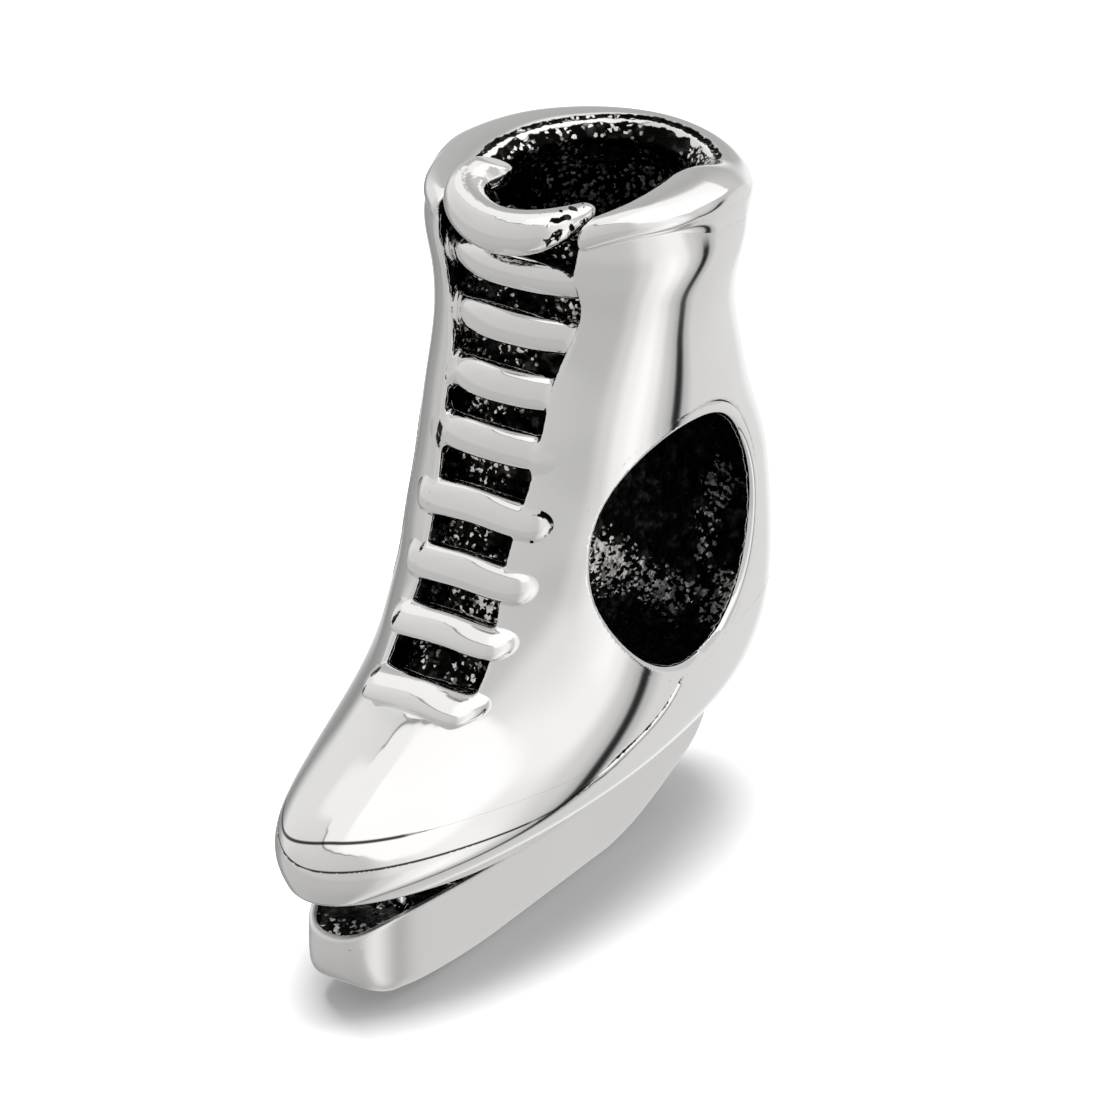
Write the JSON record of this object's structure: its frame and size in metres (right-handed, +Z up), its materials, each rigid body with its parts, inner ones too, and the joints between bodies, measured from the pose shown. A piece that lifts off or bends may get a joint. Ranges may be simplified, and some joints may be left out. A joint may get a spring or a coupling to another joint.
{
  "type": "figure skate charm bead",
  "caption": "Silver slide-on bracelet bead shaped as a laced figure skate boot on a thick rocker blade, hollow at the collar, with a bracelet bore through the ankle.",
  "frame": {"origin": "middle of the charm's footprint box, at the level the blade stands on", "axes": "+Z up through the boot's shaft, -Y towards the toe, +X out of one mouth of the bore"},
  "size_m": [0.0056, 0.013, 0.0137],
  "materials": {
    "polished_silver": "mirror-polished sterling silver",
    "blackened_silver": "antiqued, rough as cast, with sparkling grains"
  },
  "bodies": {
    "root": {"boot_shell": "polished_silver", "collar_rim": "polished_silver", "tongue_panel": "blackened_silver", "tongue_roll": "polished_silver", "lace_bar_1": "polished_silver", "lace_bar_2": "polished_silver", "lace_bar_3": "polished_silver", "lace_bar_4": "polished_silver", "lace_bar_5": "polished_silver", "lace_bar_6": "polished_silver", "lace_bar_7": "polished_silver", "lace_bar_8": "polished_silver", "bore_sleeve": "blackened_silver", "sole_and_heel": "polished_silver", "blade_web": "blackened_silver", "front_stanchion": "polished_silver", "blade_runner": "polished_silver"}
  },
  "joints": []
}
